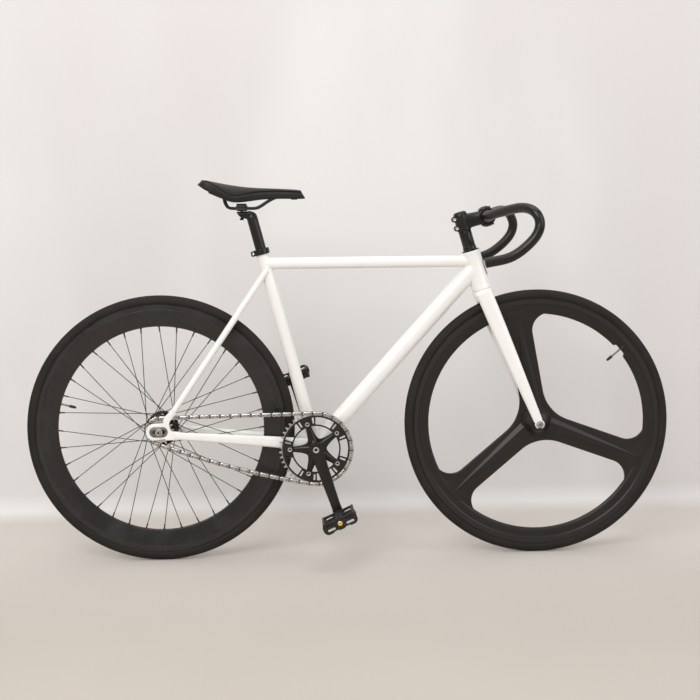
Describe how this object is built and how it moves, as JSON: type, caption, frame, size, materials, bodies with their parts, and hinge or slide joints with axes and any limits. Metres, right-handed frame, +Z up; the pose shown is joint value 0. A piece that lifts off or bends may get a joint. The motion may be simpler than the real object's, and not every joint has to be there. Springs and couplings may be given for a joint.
{
  "type": "single-speed bicycle",
  "caption": "Single-speed track bicycle: diamond frame, drop bar, cast front wheel with broad arms, laced rear wheel, fixed chain drive, flat pedals, narrow saddle.",
  "frame": {"origin": "on the ground under the middle of the bicycle, in its middle plane", "axes": "+X forward, towards the front wheel; +Y to the rider's left; +Z up"},
  "size_m": [1.6123, 0.4245, 0.9494],
  "materials": {
    "white_paint": "gloss warm white paint",
    "black_alloy": "black anodised, satin",
    "cast_black": "satin black powder coat",
    "steel": "bright zinc plated",
    "chain_steel": "bright steel, light film of oil",
    "spoke_black": "black coated, satin",
    "tyre_rubber": "matt rubber",
    "saddle_cover": "soft satin cover",
    "black_plastic": "moulded, fine grain",
    "brass": "bright, turned",
    "badge_metal": "satin plate"
  },
  "bodies": {
    "frame": {"frame": "white_paint", "head_badge_plate": "badge_metal", "track_end_insert_left": "steel", "track_end_insert_right": "steel", "rear_axle": "steel", "rear_axle_nut_left": "steel", "rear_axle_nut_right": "steel", "seat_collar": "black_alloy", "seat_collar_bolt": "steel", "headset_bearing_lower": "steel", "headset_bearing_upper": "steel", "bottom_bracket_cup_left": "black_alloy", "bottom_bracket_cup_right": "black_alloy", "chain": "chain_steel"},
    "seat": {"seatpost": "black_alloy", "saddle_rails": "steel", "saddle_clamp_lower": "black_alloy", "saddle_clamp_upper": "black_alloy", "saddle_clamp_bolt": "steel", "saddle": "saddle_cover"},
    "steering": {"fork": "white_paint", "headset_cover": "black_alloy", "steerer_spacer": "black_alloy", "stem": "black_alloy", "stem_faceplate": "black_alloy", "stem_bolt_upper": "steel", "stem_bolt_lower": "steel", "stem_top_cap": "black_alloy", "handlebar": "black_alloy", "bar_end_plug_left": "black_plastic", "bar_end_plug_right": "black_plastic", "front_axle": "steel", "front_axle_nut_left": "steel", "front_axle_nut_right": "steel"},
    "front_wheel": {"front_wheel": "cast_black", "front_tyre": "tyre_rubber", "front_valve": "steel"},
    "rear_wheel": {"rear_hub_and_spokes": "spoke_black", "rear_rim": "black_alloy", "rear_tyre": "tyre_rubber", "rear_valve": "steel", "cog": "steel", "cog_lockring": "steel"},
    "crank": {"crank_right": "black_alloy", "crank_left": "black_alloy", "chainring": "black_alloy", "chainring_bolt_1": "steel", "chainring_bolt_2": "steel", "chainring_bolt_3": "steel", "chainring_bolt_4": "steel", "chainring_bolt_5": "steel", "crank_bolt_right": "steel", "crank_bolt_left": "steel", "crank_spindle": "steel", "pedal_spindle_right": "steel", "pedal_spindle_left": "steel"},
    "pedal_right": {"pedal_right": "black_plastic", "pedal_cap_right": "brass"},
    "pedal_left": {"pedal_left": "black_plastic", "pedal_cap_left": "brass"}
  },
  "joints": [
    {"name": "steering", "type": "hinge", "parent": "frame", "child": "steering", "pos_m": [0.33605, 0, 0.67028], "axis": [-0.274, 0, 0.9617], "range_deg": [-75, 75]},
    {"name": "front_wheel_spin", "type": "hinge", "parent": "steering", "child": "front_wheel", "pos_m": [0.4725, 0, 0.334], "axis": [0, 1, 0], "continuous": true},
    {"name": "rear_wheel_spin", "type": "hinge", "parent": "frame", "child": "rear_wheel", "pos_m": [-0.47179, 0, 0.334], "axis": [0, 1, 0], "continuous": true, "deforming": ["chain"]},
    {"name": "crank_spin", "type": "hinge", "parent": "frame", "child": "crank", "pos_m": [-0.08598, 0, 0.282], "axis": [0, 1, 0], "continuous": true, "deforming": ["chain"]},
    {"name": "pedal_right_spin", "type": "hinge", "parent": "crank", "child": "pedal_right", "pos_m": [-0.03204, -0.13, 0.12079], "axis": [0, 1, 0], "continuous": true},
    {"name": "pedal_left_spin", "type": "hinge", "parent": "crank", "child": "pedal_left", "pos_m": [-0.13992, 0.13, 0.44322], "axis": [0, 1, 0], "continuous": true},
    {"name": "seatpost_slide", "type": "slide", "parent": "frame", "child": "seat", "axis": [-0.2504, 0, 0.9681], "range_m": [-0.055, 0.12]}
  ],
  "couplings": [
    {"joint": "crank_spin", "follows": "rear_wheel_spin", "ratio": 0.36364}
  ]
}
